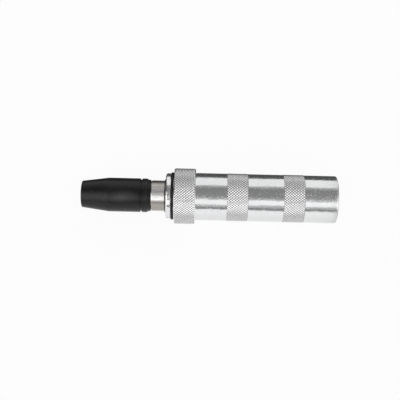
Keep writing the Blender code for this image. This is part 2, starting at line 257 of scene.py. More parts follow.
class Tree:
    """The nodes of a material or of the room: one method adds any node, and others are the sums used most."""

    def __init__(self, owner):
        owner.use_nodes = True
        self.nodes = owner.node_tree.nodes
        self.links = owner.node_tree.links

    def feed(self, target, value):
        if isinstance(value, Value):
            self.links.new(value.socket, target)
        elif isinstance(value, tuple) and target.type == "RGBA":
            target.default_value = (*value, 1)
        else:
            target.default_value = value

    def add(self, kind, sockets=None, output=0, stops=None, **settings):
        node = self.nodes.new(kind)
        for name, value in settings.items():
            setattr(node, name, value)
        for k, (position, level) in enumerate(stops or []):
            marks = node.color_ramp.elements
            mark = marks[k] if k < len(marks) else marks.new(position)
            mark.position = position
            mark.color = (level, level, level, 1)
        for name, value in (sockets or {}).items():
            self.feed(node.inputs[name], value)
        return Value(self, node.outputs[output])

    def ramp(self, value, *stops):
        return self.add("ShaderNodeValToRGB", {"Fac": value}, stops=stops)

    def mix(self, share, first, second):
        sockets = {"Factor": share, 6: first, 7: second}
        return self.add("ShaderNodeMix", sockets, output=2, data_type="RGBA")

    def part(self, vector, letter):
        return self.add("ShaderNodeSeparateXYZ", {0: vector}, output=letter)

    def ray(self, kind):
        return self.add("ShaderNodeLightPath", output=f"Is {kind} Ray")


class Finish(Tree):
    """A material in the making, with the patterns that the finishes share."""

    def __init__(self, name, **sockets):
        self.material = bpy.data.materials.new(name)
        super().__init__(self.material)
        self.shader = self.nodes["Principled BSDF"]
        self.set(**sockets)

    def set(self, **sockets):
        for name, value in sockets.items():
            socket = "IOR" if name == "ior" else name.replace("_", " ").title()
            self.feed(self.shader.inputs[socket], value)

    def coordinates(self, stretch=(1, 1, 1)):
        """Object coordinates measured from the driver's axis and scaled, so a pattern can be drawn out."""
        here = self.add("ShaderNodeTexCoord", output="Object")
        down = (0, 0, -stretch[2] * axis_z)
        return self.add("ShaderNodeMapping", {"Vector": here, "Location": down, "Scale": stretch})

    def length(self, vector):
        return self.add("ShaderNodeVectorMath", {0: vector}, "Value", operation="LENGTH")

    def noise(self, scale, stretch=(1, 1, 1), detail=3, roughness=0.5, distortion=0):
        return self.add(
            "ShaderNodeTexNoise",
            {
                "Vector": self.coordinates(stretch),
                "Scale": scale,
                "Detail": detail,
                "Roughness": roughness,
                "Distortion": distortion,
            },
            output="Fac",
        )

    def field(self, name):
        return self.add("ShaderNodeAttribute", output="Fac", attribute_name=name)

    def bump(self, height, distance, normal=None):
        """Raises the surface by height times distance, on top of an earlier bump if one is given."""
        sockets = {"Height": height, "Distance": distance, "Strength": 1.0}
        if normal:
            sockets["Normal"] = normal
        return self.add("ShaderNodeBump", sockets)

    def made(self):
        print(self.material.name, "has", len(self.nodes), "nodes")
        return self.material


# %% [markdown]
# ## Bright plate on the body
# The body is turned steel under a bright zinc or nickel plate. Such plate is never a perfect mirror: the
# steel below is slightly wavy, and the polish leaves hazy patches and fine lines round the bar. The waves
# are two layers of bump, one slow and one quick, and haze moves the roughness rather than the colour. So do
# small frosted flecks, which hardly show where the plate mirrors white, but lighten its dark stripes. The
# struck end was faced on the lathe, which leaves rings about its middle, and hammer blows have since
# dulled it and its edge, so the mesh stores a field that says how much a point is struck.


# %% Bright plate
def bright_plate(name, wave=1.0, tone=(0.86, 0.865, 0.87)):
    hazy, wear_and_highlight, bruised = (0.60, 0.60, 0.62), (0.90, 0.90, 0.90), (0.36, 0.35, 0.35)
    plate = Finish(name, metallic=1.0)
    haze = plate.noise(140, detail=4, roughness=0.6)
    spots = plate.ramp(plate.noise(1000, detail=2, roughness=0.6), (0.54, 0), (0.70, 1))
    lines = plate.noise(60, stretch=(90, 1, 1), detail=2)
    wear = plate.field("edge_wear")
    struck = plate.field("struck")
    off_axis = plate.length(plate.coordinates((0, 1, 1)))
    rings = plate.add("ShaderNodeTexNoise", {"W": off_axis, "Scale": 900, "Detail": 5}, noise_dimensions="1D")
    blows = plate.ramp(plate.noise(330, detail=3), (0.35, 0), (0.75, 1))
    dents = plate.noise(480, stretch=(0.7, 1, 1), detail=3)
    dulled = plate.mix(haze * 0.35 + spots * 0.10, tone, hazy)
    worn = plate.mix(wear * 0.5 * (1 - struck), dulled, wear_and_highlight)
    plate.set(
        base_color=plate.mix(struck * (blows * 0.35 + rings * 0.3 + 0.30), worn, bruised),
        roughness=haze * 0.14 + lines * 0.05 + spots * 0.22 + struck * (blows * 0.15 + 0.12) + 0.02,
    )
    slow = plate.bump(plate.noise(90, stretch=(0.6, 1, 1), detail=1), 0.34 * mm * wave)
    quick = plate.bump(dents, 0.060 * mm * wave, slow)
    faced = plate.bump(struck * (rings * 0.10 + dents * 0.02), mm, quick)
    plate.set(normal=plate.bump(lines, 0.003 * mm, faced))
    return plate.made()


body_plate = bright_plate("body_plate")
rim_plate = bright_plate("rim_plate", wave=6.0, tone=(0.88, 0.88, 0.89))

# %% [markdown]
# ## Plated knurl
# A knurl is pressed into the bar by two wheels, and then plated. Hands rub its crests bright, and its
# grooves hold the duller plate, a little dirt and painted shade. The mesh stores how deep each point lies
# as a field, and the finish reads that field, so the painted shade and the dirt lie exactly in the grooves.


# %% Plated knurl
def plated_knurl(name):
    # The groove colour is painted shade in the knurl's grooves, and the dirt colour is dirt with painted
    # shade
    crest, groove_shade, dirt_and_shade = (0.98, 0.98, 0.98), (0.22, 0.21, 0.23), (0.16, 0.15, 0.15)
    knurl = Finish(name, metallic=1.0)
    deep = knurl.field("groove_depth")
    # Dirt and painted shade, mottled by noise, and strongest in the deepest grooves
    grime_and_shade = knurl.noise(260, detail=3) * (deep**1.5)
    # Bright crests, with painted shade in the grooves
    crests_and_groove_shade = knurl.mix(knurl.ramp(deep, (0.49, 0), (0.90, 1)), crest, groove_shade)
    knurl.set(
        base_color=knurl.mix(grime_and_shade * 0.55, crests_and_groove_shade, dirt_and_shade),
        roughness=deep * 0.14 + knurl.noise(300) * 0.10 + 0.10,
    )
    knurl.set(normal=knurl.bump(knurl.noise(1500, detail=3), 0.006 * mm))
    return knurl.made()


knurl_plate = plated_knurl("knurl_plate")

# %% [markdown]
# ## Ground steel
# The spindle is bare steel, ground to size, so it has fine rings from the wheel, a slightly warm tone where
# oil has dried on it, and long rub marks from sliding in its bore. Noise stretched hard along one axis gives
# both kinds of line. A painted highlight lightens the spindle's upper front side, ragged where the rub marks
# cross its edge: how far a point lies towards that side is one dot product, and it is 1 on the brightest
# line.


# %% Ground steel
def ground_steel(name, tone=(0.50, 0.50, 0.51), painted_highlight_side=None, base_roughness=0.08):
    dried_oil, highlight_colour = (0.40, 0.35, 0.30), (0.86, 0.85, 0.84)
    steel = Finish(name, metallic=1.0)
    rings = steel.noise(40, stretch=(160, 1, 1), detail=3)
    rubs = steel.noise(55, stretch=(0.4, 16, 16), detail=3, roughness=0.6)
    stain = steel.ramp(steel.noise(130, detail=4), (0.45, 0), (0.75, 1))
    colour = steel.mix(stain * 0.45, tone, dried_oil)
    # A painted highlight: the bar is lighter on the side that this direction points to, ragged at its edge
    # from the rub marks
    if painted_highlight_side:
        sockets = {0: steel.coordinates(), 1: painted_highlight_side}
        towards_highlight = steel.add("ShaderNodeVectorMath", sockets, "Value", operation="DOT_PRODUCT")
        wear_and_highlight = steel.ramp(towards_highlight + (rubs - 0.5) * 0.55, (0.84, 0), (1.0, 1))
        colour = steel.mix(wear_and_highlight, colour, highlight_colour)
    steel.set(base_color=colour, roughness=rings * 0.08 + rubs * 0.10 + base_roughness)
    scored = steel.bump(rings, 0.004 * mm)
    steel.set(normal=steel.bump(rubs, 0.03 * mm, scored))
    return steel.made()


spindle_radius = 10.0 * mm
# The painted highlight on the spindle lies this far round the bar from the front, on its upper front side
highlight_angle = np.radians(66)  # round the bar from the front
highlight_side = (0, -np.cos(highlight_angle) / spindle_radius, np.sin(highlight_angle) / spindle_radius)
spindle_steel = ground_steel("spindle_steel", (0.42, 0.405, 0.39), highlight_side, 0.22)
hard_steel = ground_steel("hard_steel")
wire_steel = ground_steel("wire_steel", (0.24, 0.24, 0.25))

# %% [markdown]
# ## Black oxide
# The holder is turned and then blackened in a hot bath. The black is a thin skin on steel: it is satin, a
# little brown in places, and rubs through to grey at sharp edges. Turning lines still show through it. Dust
# clings to it in specks, and a pale patch of painted sheen lies on the upper front of the taper. The length
# of a stretched vector from the patch's middle says how far it has faded, so it is longer than it is wide.


# %% Black oxide
def black_oxide(name):
    black, brownish = (0.006, 0.006, 0.007), (0.014, 0.013, 0.013)
    # dust is also the colour of the painted sheen patch below
    dust, bare_steel = (0.24, 0.24, 0.25), (0.33, 0.33, 0.34)
    oxide = Finish(name, metallic=0.0, ior=1.35)
    cloud = oxide.noise(90, detail=4, roughness=0.6)
    lines = oxide.noise(50, stretch=(110, 1, 1), detail=3)
    specks = oxide.ramp(oxide.noise(1400, detail=2), (0.66, 0), (0.74, 1))
    wear = oxide.ramp(oxide.field("edge_wear") + cloud * 0.3, (0.75, 0), (1.0, 1))
    # A pale patch of painted sheen on the upper front of the taper, faded by a stretched distance from its
    # middle
    patch_stretch = (60, 150, 150)
    patch_shift = (3.42, 1.0, -1.3)  # minus the stretch times its middle, at (-57, -6.7, 8.7) mm
    patch = {"Vector": oxide.coordinates(patch_stretch), "Location": patch_shift}
    from_patch = oxide.length(oxide.add("ShaderNodeMapping", patch))
    painted_sheen = oxide.ramp(from_patch + cloud * 0.6, (0.4, 1), (1.0, 0))
    dust_and_sheen = oxide.mix(specks * 0.25 + painted_sheen * 0.17, oxide.mix(cloud, black, brownish), dust)
    oxide.set(
        base_color=oxide.mix(wear * 0.7, dust_and_sheen, bare_steel),
        roughness=cloud * 0.14 + lines * 0.08 + 0.20,
    )
    turned = oxide.bump(lines, 0.004 * mm)
    oxide.set(normal=oxide.bump(oxide.noise(800, detail=3), 0.006 * mm, turned))
    return oxide.made()


holder_black = black_oxide("holder_black")

# %% [markdown]
# ## Rubber
# The ring behind the rim and the seal in the mouth are moulded nitrile: black, matt, with a bloom of grey
# dust and a faint grain from the mould.


# %% Rubber
def black_rubber(name):
    black, bloom = (0.010, 0.010, 0.011), (0.075, 0.072, 0.070)
    rubber = Finish(name, metallic=0.0, ior=1.35)
    dust = rubber.ramp(rubber.noise(700, detail=4), (0.50, 0), (0.80, 1))
    rubber.set(base_color=rubber.mix(dust * 0.3, black, bloom), roughness=dust * 0.25 + 0.50)
    rubber.set(normal=rubber.bump(rubber.noise(2200, detail=2), 0.006 * mm))
    return rubber.made()


seal_rubber = black_rubber("seal_rubber")

# %% [markdown]
# ## The turned body
# One bar of steel carries the rim, the ring groove, the seat of the collar, the grip and the striking end,
# and the bore goes in from the front. All of it is one outline from the bottom of the bore, out over the
# front rim, along the grip and down to the middle of the struck face. Where a knurled band lies, the
# outline steps down a little, and a separate fine ring fills the step. The rim in front of the ring is
# dented by use, so its faces get a second plate with much stronger waves.

# %% Places along the body
body_low, body_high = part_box("handle_body")
collar_low, collar_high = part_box("knurled_collar")
ring_low, ring_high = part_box("collar_ring")
seal_low, seal_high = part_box("wiper_seal")
spindle_low, spindle_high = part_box("spindle")
spring_low, spring_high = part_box("return_spring")
front_x, tail_x = body_low.x, body_high.x
gap = 0.3 * mm
body_radius = 15.5 * mm
rim_radius = 14.9 * mm
rim_edge = 1.3 * mm
tail_edge = 0.8 * mm
bore_radius = spindle_high.y + gap
seal_pocket_radius = seal_high.y + gap
ring_groove_radius = ring_high.y - (ring_high.x - ring_low.x) - gap
bore_end_x = spring_high.x + gap
drill_half_angle = np.radians(59)
drill_depth = bore_radius / np.tan(drill_half_angle)
band_length = 13.6 * mm
band_spacing = 23.1 * mm
plain_tail = 21.4 * mm
rear_band_x = tail_x - plain_tail - band_length
front_band_x = rear_band_x - band_spacing - band_length
band_seat_radius = body_radius - 0.45 * mm
print("bands start", round(front_band_x / mm, 1), "and", round(rear_band_x / mm, 1), "mm from the middle")

# %% Turned body
body_sides = 256
band_steps = []
for start in (front_band_x, rear_band_x):
    end = start + band_length
    band_steps += [(start, body_radius), (start, band_seat_radius)]
    band_steps += [(end, band_seat_radius), (end, body_radius)]
body_line = outline(
    (bore_end_x + drill_depth, 0),
    (bore_end_x, bore_radius),
    (seal_high.x + gap, bore_radius),
    (seal_high.x + gap, seal_pocket_radius),
    (front_x, seal_pocket_radius),
    arc(front_x + rim_edge, rim_radius - rim_edge, rim_edge, 180, 90),
    (ring_low.x - gap, rim_radius),
    (ring_low.x - gap, ring_groove_radius),
    (collar_low.x, ring_groove_radius),
    (collar_low.x, rim_radius),
    (collar_high.x + gap, rim_radius),
    (collar_high.x + gap, body_radius),
    *band_steps,
    arc(tail_x - tail_edge, body_radius - tail_edge, tail_edge, 90, 0),
    (tail_x, 0),
)
body_wear = near(
    body_line,
    (tail_x - arc_middle * tail_edge, body_radius - arc_middle * tail_edge),
    (front_x + arc_middle * rim_edge, rim_radius - arc_middle * rim_edge),
)
# Struck is 1 on the face and on the outer half of its rounded edge, and fades along the side
from_tail = tail_x - body_line[:, 0]
fade_length = 3 * mm
fading = 0.7 * np.exp(-from_tail / fade_length)
struck = np.clip(2 - 2 * from_tail / tail_edge, fading, 1)
body_points = turn(body_line.T, body_sides)
body = grid_mesh("turned_body", body_points, edge_wear=body_wear[:, None], struck=struck[:, None])
stand_for(body, "handle", "bright_plate", body_plate, "handle_body")

# %% Plate of the rim
body_faces = body.data.polygons
centres = np.zeros(len(body_faces) * 3)
body_faces.foreach_get("center", centres)
on_rim = centres[::3] < ring_low.x
body.data.materials.append(rim_plate)
body_faces.foreach_set("material_index", on_rim.astype(np.int32))
print("the rim has", on_rim.sum(), "faces")

# %% [markdown]
# ## Diamond knurl
# Two families of straight grooves cross the bar, leaning opposite ways. With u and v counting the grooves
# of each family, the depth at a point is the depth of whichever groove is nearer, so the crests stand as
# small pyramids. Each face of the grid is divided along the groove that crosses it, which keeps the valleys
# straight. A rounded edge simply cuts the pyramids off, so the lower of the two radii is used.


# %% Knurl helpers
knurl_round = 1.7 * mm  # round the bar from one groove to the next
knurl_along = 2.0 * mm  # and along it
knurl_depth = 0.29 * mm
knurl_samples = 8  # columns and rows of the grid from one groove to the next


def groove_distance(count):
    """0 on a groove, where count is whole, and 1 half way to the next."""
    return 2 * np.abs(count - np.round(count))


def knurled_rows(start, end, radius):
    """Points (x, radius) from start to end on the knurl's own steps, so that its valleys stay sharp."""
    step = knurl_along / knurl_samples
    x = np.arange(np.ceil(start / step), np.floor(end / step) + 1) * step
    return np.column_stack([x, np.full(len(x), radius)])


def knurled(name, line, radius, crest=0.9):
    """Turns a closed outline and presses the knurl into it: the radius falls by the knurl's depth times
    1 - height, where height is the distance to the nearer groove over crest, and 1 at most."""
    diamonds = round(2 * np.pi * radius / knurl_round)
    sides = diamonds * knurl_samples
    turns = np.arange(sides)[None, :] / knurl_samples
    along = line[:, :1] / knurl_along
    leaning, opposite = groove_distance(turns + along), groove_distance(turns - along)
    height = np.minimum(np.minimum(leaning, opposite) / crest, 1)
    radii = np.minimum(line[:, 1:], radius - knurl_depth * (1 - height))
    middle_turns = turns + 0.5 / knurl_samples
    next_along = np.roll(along, -1, axis=0)
    middle_along = (along + next_along) / 2
    split = groove_distance(middle_turns + middle_along) > groove_distance(middle_turns - middle_along)
    depth = np.clip((radius - radii) / knurl_depth, 0, 1) * (line[:, 1:] > radius - knurl_depth)
    points = turn((line[:, 0], radii), sides)
    return grid_mesh(name, points, closed=True, split=split, crease_deg=60, groove_depth=depth)


print("a pyramid of the knurl is", knurl_round / mm, "by", knurl_along / mm, "mm")

# %% Knurled bands of the grip
band_height = 0.2 * mm
band_root = 0.40 * mm
band_chamfer = 0.25 * mm
band_play = 0.01 * mm


def grip_band(name, start):
    """A closed ring: its root in the step, a chamfer at each end, and the knurl on top."""
    low, high = start + band_play, start + band_length - band_play
    bottom, top = body_radius - band_root, body_radius + band_height
    line = np.vstack([
        [(low, bottom), (low, top - band_chamfer), (low + band_chamfer, top)],
        knurled_rows(low + band_chamfer, high - band_chamfer, top),
        [(high - band_chamfer, top), (high, top - band_chamfer), (high, bottom)],
    ])
    return knurled(name, line, top)


for name, start in (("front_grip_band", front_band_x), ("rear_grip_band", rear_band_x)):
    stand_for(grip_band(name, start), "handle", "bright_plate", knurl_plate, "handle_body")

# %% [markdown]
# ## The knurled collar
# The collar is a separate sleeve that hides the ends of the cross pin. It has the same knurl as the grip,
# and its two rims are turned to a radius after knurling, so the pyramids run out on them.

# %% Knurled collar
collar_radius = 18.3 * mm
collar_edge = 1.1 * mm
collar_bore = rim_radius + gap
fine_from = collar_bore + 0.4 * mm  # the fine rows of the two end faces start here
edge_radius = collar_radius - collar_edge
low, high = collar_low.x, collar_high.x
collar_line = np.vstack([
    outline((high, collar_bore), (low, collar_bore), step=4 * mm),
    outline((low, fine_from), (low, edge_radius))[:-1],
    arc(low + collar_edge, edge_radius, collar_edge, 180, 90),
    knurled_rows(low + collar_edge, high - collar_edge, collar_radius),
    arc(high - collar_edge, edge_radius, collar_edge, 90, 0),
    outline((high, edge_radius), (high, fine_from))[1:],
])
collar = knurled("knurled_sleeve", collar_line, collar_radius)
stand_for(collar, "handle", "plated_knurl", knurl_plate, "knurled_collar")

# %% [markdown]
# ## Ring and seal
# The ring in its groove is a plain round section. The seal has a lip that leans on the spindle, and both
# stay as they are when the spindle slides through them.

# %% Ring and seal
rubber_sides = 192
section = (ring_high.x - ring_low.x) / 2
ring_line = arc((ring_low.x + ring_high.x) / 2, ring_high.y - section, section, 0, 360, steps=24)[:-1]
ring = grid_mesh("rubber_ring", turn(ring_line.T, rubber_sides), closed=True)
stand_for(ring, "handle", "black_rubber", seal_rubber, "collar_ring")

lip_edge = 0.3 * mm
lip_length = 0.8 * mm
seal_line = outline(
    (seal_high.x, bore_radius),
    (seal_low.x + lip_edge, bore_radius),
    arc(seal_low.x + lip_edge, bore_radius + lip_edge, lip_edge, 270, 90),
    (seal_low.x + lip_length, seal_high.y),
    (seal_high.x, seal_high.y),
)
seal = grid_mesh("mouth_seal", turn(seal_line.T, rubber_sides), closed=True)
stand_for(seal, "handle", "black_rubber", seal_rubber, "wiper_seal")

# %% [markdown]
# ## The bit holder
# Outside it is turned: a blunt nose, a long taper, a ring groove and a stepped rear. Inside it has a hexagon
# at the nose and a square at the rear, which no lathe makes, but the same grid can: in polar form a hexagon
# is a radius that changes with the angle, so each row of the grid only needs its own radius for each column.


# %% Holder helpers
holder_sides = 360
holder_angle = np.linspace(0, 2 * np.pi, holder_sides, endpoint=False)
nothing = np.zeros(holder_sides)


def polygon_radius(flat_radius, corners, first_corner_deg=0.0):
    """Distance from the middle to the side of a regular polygon, for each angle: flat radius / cos(angle
    from the middle of the nearest side)."""
    wedge = 2 * np.pi / corners
    return flat_radius / np.cos((holder_angle - np.radians(first_corner_deg)) % wedge - wedge / 2)


def rows_of(line):
    """Rows of the grid from outline points: their x, and their radius the same all round."""
    return line[:, 0], np.repeat(line[:, 1:], holder_sides, axis=1)


def rows_along(xs, radius):
    """Rows with one radius for each angle, at several x."""
    return np.array(xs), np.repeat(radius[None, :], len(xs), axis=0)


def joined(*stretches):
    """The x of all rows, and below one another their radii, from stretches of rows in order."""
    return np.concatenate([xs for xs, _ in stretches]), np.vstack([radii for _, radii in stretches])


print("over its corners a hexagon is", round(polygon_radius(1, 6).max(), 3), "times as wide as its flats")

# %% Sizes of the bit holder
holder_low, holder_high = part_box("bit_holder")
clip_low, clip_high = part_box("bit_clip")
nose_x, holder_rear_x = holder_low.x, holder_high.x
holder_radius = 11.1 * mm
nose_radius = 8.75 * mm
nose_chamfer = 0.4 * mm
taper_end_x = nose_x + 17.6 * mm
groove_x = holder_rear_x - 6.2 * mm
groove_half = 0.6 * mm
groove_low_x, groove_high_x = groove_x - groove_half, groove_x + groove_half
groove_floor = holder_radius - 0.8 * mm
groove_chamfer = 0.15 * mm
step_x = holder_rear_x - 1.6 * mm
step_radius = holder_radius - 0.7 * mm
step_chamfer = 0.9 * mm
rear_chamfer = 0.3 * mm
hex_half = 4.05 * mm
hex_lead_in = 0.5 * mm
hex_end_x = nose_x + 18 * mm
socket_half = 6.65 * mm
socket_corner = 8.8 * mm
socket_end_x = spindle_low.x - gap
clip_groove_radius = 5.1 * mm
clip_x = (clip_low.x + clip_high.x) / 2
clip_reach = (clip_high.x - clip_low.x) / 2 + gap
print("the holder is", round((holder_rear_x - nose_x) / mm, 1), "mm long")

# %% Bit holder
nose_line = outline(
    (nose_x, nose_radius - nose_chamfer),
    (nose_x + 0.35 * nose_chamfer, nose_radius - 0.25 * nose_chamfer),
    (nose_x + nose_chamfer, nose_radius),
    # The taper ends in a soft bend, not in a sharp ring
    (taper_end_x - 0.6 * mm, holder_radius - 0.09 * mm),
    (taper_end_x, holder_radius - 0.02 * mm),
    (taper_end_x + 0.5 * mm, holder_radius),
    (groove_low_x - groove_chamfer, holder_radius),
    (groove_low_x, holder_radius - groove_chamfer),
    (groove_low_x, groove_floor),
    (groove_high_x, groove_floor),
    (groove_high_x, holder_radius - groove_chamfer),
    (groove_high_x + groove_chamfer, holder_radius),
    (step_x - step_chamfer, holder_radius),
    (step_x - 0.3 * mm, holder_radius - 0.3 * mm),
    (step_x, step_radius),
    (holder_rear_x - rear_chamfer, step_radius),
    (holder_rear_x, step_radius - rear_chamfer),
)
hexagon = polygon_radius(hex_half, 6)
square = np.minimum(polygon_radius(socket_half, 4, 45.0), socket_corner)
holder_x, holder_r = joined(
    rows_along([hex_end_x], nothing),
    rows_along(np.linspace(hex_end_x, clip_x + clip_reach, 12), hexagon),
    rows_along([clip_x + clip_reach, clip_x - clip_reach], np.full(holder_sides, clip_groove_radius)),
    rows_along(np.linspace(clip_x - clip_reach, nose_x + hex_lead_in, 4), hexagon),
    rows_along([nose_x], hexagon + hex_lead_in),
    rows_of(nose_line),
    rows_along(np.linspace(holder_rear_x, socket_end_x, 14), square),
    rows_along([socket_end_x], nothing),
)
holder_wear = near(
    np.column_stack([holder_x, holder_r[:, 0]]),
    (nose_x + arc_middle * nose_chamfer, nose_radius - arc_middle * nose_chamfer),
    (groove_low_x, holder_radius),
    (groove_high_x, holder_radius),
    (step_x - 0.7 * mm, holder_radius - 0.1 * mm),
    (holder_rear_x - 0.1 * mm, step_radius - 0.1 * mm),
    reach=0.25 * mm,
)
holder_points = turn((holder_x, holder_r), holder_sides)
holder = grid_mesh("hex_bit_holder", holder_points, edge_wear=holder_wear[:, None])
stand_for(holder, "holder", "black_oxide", holder_black, "bit_holder")

# %% [markdown]
# ## Wire forms
# Springs and the snap ring are wire along a curve. At each point of the curve a circle is set square to it:
# one arm of the circle points away from the coil's axis, and the other is square to that arm and the curve.
# In the tool both springs stand on a piece that stays and are pressed shorter by one that moves; here each
# hangs on the piece that stays, at its full length.


# %% Wire helpers
coil_steps = 32


def wire(name, line, outward, radius, sides=12):
    """A round wire along line, closed with a flat end at both ends: each point plus radius times
    (cos a times the outward arm + sin a times the other arm)."""
    along = np.gradient(line, axis=0)
    along /= np.linalg.norm(along, axis=1, keepdims=True)
    arm = outward - along * np.sum(outward * along, axis=1, keepdims=True)
    arm /= np.linalg.norm(arm, axis=1, keepdims=True)
    other = np.cross(along, arm)
    angle = np.linspace(0, 2 * np.pi, sides, endpoint=False)[None, :, None]
    circles = radius * (np.cos(angle) * arm[:, None] + np.sin(angle) * other[:, None]) + line[:, None]
    ends = [np.repeat(line[k][None, None], sides, axis=1) for k in (0, -1)]
    return grid_mesh(name, np.concatenate([ends[0], circles, ends[1]]), crease_deg=50)


def coil_line(length, wire_radius, turns, end_pitch):
    """cos a and sin a of a helix, and its rise. The first and last turns rise by end_pitch each, and the
    other turns share the rest evenly."""
    turn_count = np.linspace(0, turns, turns * coil_steps + 1)
    whole_rise = length - 2 * wire_radius
    rises = [0, end_pitch, whole_rise - end_pitch, whole_rise]
    angle = 2 * np.pi * turn_count
    return np.cos(angle), np.sin(angle), np.interp(turn_count, [0, 1, turns - 1, turns], rises) + wire_radius


def shorten(spring):
    """Gives a spring a mesh of its own."""
    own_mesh(spring)


print("each turn of a coil has", coil_steps, "circles")

# %% Snap ring
clip_wire = 0.45 * mm
clip_proud = 0.15 * mm
clip_middle = hex_half - clip_proud + clip_wire
sweep = np.radians(np.linspace(110, 430, 73))
clip_out = np.column_stack([0 * sweep, np.cos(sweep), np.sin(sweep)])
clip_line = clip_out * clip_middle + np.array([clip_x, 0, axis_z])
clip = wire("snap_ring", clip_line, clip_out, clip_wire)
stand_for(clip, "holder", "spring_steel", wire_steel, "bit_clip")

# %% Main spring
spring_wire = 1.1 * mm
spring_middle = 7.9 * mm
spring_length = spring_high.x - spring_low.x
side, up, rise = coil_line(spring_length, spring_wire, turns=8, end_pitch=3.0 * mm)
spring_out = np.column_stack([0 * rise, up, -side])
spring_base = np.column_stack([spring_low.x + rise, 0 * rise, 0 * rise + axis_z])
spring = wire("main_spring", spring_out * spring_middle + spring_base, spring_out, spring_wire)
stand_for(spring, "handle", "spring_steel", wire_steel, "return_spring")
shorten(spring)

# %% Ball spring
ball_low, ball_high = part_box("detent_ball")
ball_spring_low, ball_spring_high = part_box("detent_spring")
ball_middle = (Vector(ball_low) + Vector(ball_high)) / 2
ball_spring_wire = 0.25 * mm
ball_spring_middle = 1.45 * mm
ball_spring_length = ball_spring_high.z - ball_spring_low.z
side, up, rise = coil_line(ball_spring_length, ball_spring_wire, turns=4, end_pitch=1.1 * mm)
ball_spring_out = np.column_stack([side, up, 0 * rise])
ball_spring_base = np.column_stack([0 * rise + ball_middle.x, 0 * rise, ball_spring_low.z + rise])
ball_spring_line = ball_spring_out * ball_spring_middle + ball_spring_base
ball_spring = wire("ball_spring", ball_spring_line, ball_spring_out, ball_spring_wire)
stand_for(ball_spring, "spindle", "spring_steel", wire_steel, "detent_spring")
shorten(ball_spring)

# %% [markdown]
# ## Pin, washer and ball
# The cross pin and the washer are already exact in the plain model. Its faces are loose triangles, so a copy
# is merged and shaded smooth between its sharp edges, which is enough for a ground surface. The ball's
# facets would show, so it is an arc turned about the axis again.


# %% Smooth copies
copy_crease_deg = 28


def smooth_copy(node, name, body, slot, finish):
    mesh = frame["nodes"][node].data.copy()
    mesh.name = name
    stand_for(place(name, mesh, copy_crease_deg), body, slot, finish, node)


smooth_copy("drive_pin", "cross_pin", "handle", "hard_steel", hard_steel)
smooth_copy("thrust_washer", "slide_washer", "carriage", "hard_steel", hard_steel)

# %% Ball
ball_sides = 48
ball_radius = (ball_high.x - ball_low.x) / 2
ball_line = arc(ball_middle.x, 0, ball_radius, 180, 0, steps=24)
ball = grid_mesh("steel_ball", turn(ball_line.T, ball_sides, ball_middle.z))
stand_for(ball, "detent", "hard_steel", hard_steel, "detent_ball")

# %% [markdown]
# ## The spindle
# The part of the spindle that shows mirrors its surroundings, and the plain model's 64 facets would break
# those reflections. So the spindle is divided inside the seal, where the seam is hidden. The windowed rear
# stays a copy, and the neck with its square drive is a new grid, again with one radius for each angle. Fine
# rings from the lathe go into its outline, as a cosine with one wave for each turn's feed. Only the hole for
# the ball is cut out.

# %% Spindle neck
neck_end_x = -27.0 * mm
neck_radius = spindle_high.y
neck_edge = 0.8 * mm
feed = 0.22 * mm
feed_depth = 0.016 * mm
drive_length = 15.0 * mm
drive_half = 6.35 * mm
drive_corner = 8.2 * mm
drive_edge = 0.9 * mm
shoulder_x = spindle_low.x + drive_length
drive_tip = np.minimum(polygon_radius(drive_half - drive_edge, 4, 45.0), drive_corner - drive_edge)
drive = np.minimum(polygon_radius(drive_half, 4, 45.0), drive_corner)
turned_x = np.arange(shoulder_x + neck_edge, neck_end_x, feed / 4)
wave = 0.5 - 0.5 * np.cos(2 * np.pi * (turned_x - turned_x[0]) / feed)
shoulder_line = outline(
    (shoulder_x, neck_radius - neck_edge),
    (shoulder_x + arc_middle * neck_edge, neck_radius - arc_middle * neck_edge),
)
turned_line = np.column_stack([turned_x, neck_radius - feed_depth * wave])
neck_points = turn(
    joined(
        rows_along([spindle_low.x], nothing),
        rows_along([spindle_low.x], drive_tip),
        rows_along(np.linspace(spindle_low.x + drive_edge, shoulder_x, 12), drive),
        rows_of(np.vstack([shoulder_line, turned_line, [(neck_end_x, neck_radius)]])),
        rows_along([neck_end_x], nothing),
    ),
    holder_sides,
)
neck = grid_mesh("spindle_neck", neck_points)

# %% Hole for the ball
hole_radius = ball_radius + gap
hole_depth = 9.6 * mm
lip_depth = 1.2 * mm
ball_proud = 0.25 * mm
clear = 1.0 * mm  # the cutter starts this far outside the face
mouth_radius = np.sqrt(ball_radius**2 - (ball_radius - ball_proud) ** 2) + gap
face = axis_z - drive_half
hole_line = np.array([
    (face - clear, 0),
    (face - clear, mouth_radius),
    (face, mouth_radius),
    (face + lip_depth, hole_radius),
    (face + hole_depth, hole_radius),
    (face + hole_depth, 0),
])
# The outline is turned about X, and then stood up by putting its x last
hole_points = turn(hole_line.T, ball_sides, 0)[..., [1, 2, 0]] + np.array([ball_middle.x, 0, 0])
cutter = grid_mesh("ball_hole", hole_points)
cut = neck.modifiers.new("ball hole", "BOOLEAN")
cut.operation, cut.solver, cut.object = "DIFFERENCE", "EXACT", cutter
bpy.context.view_layer.update()
neck_mesh = bpy.data.meshes.new_from_object(neck.evaluated_get(bpy.context.evaluated_depsgraph_get()))
neck.modifiers.clear()
neck.data = neck_mesh
shade(neck_mesh, usual_crease_deg)
bpy.data.objects.remove(cutter)
stand_for(neck, "spindle", "ground_steel", spindle_steel, "spindle")
print("with its hole the neck has", len(neck_mesh.polygons), "faces")

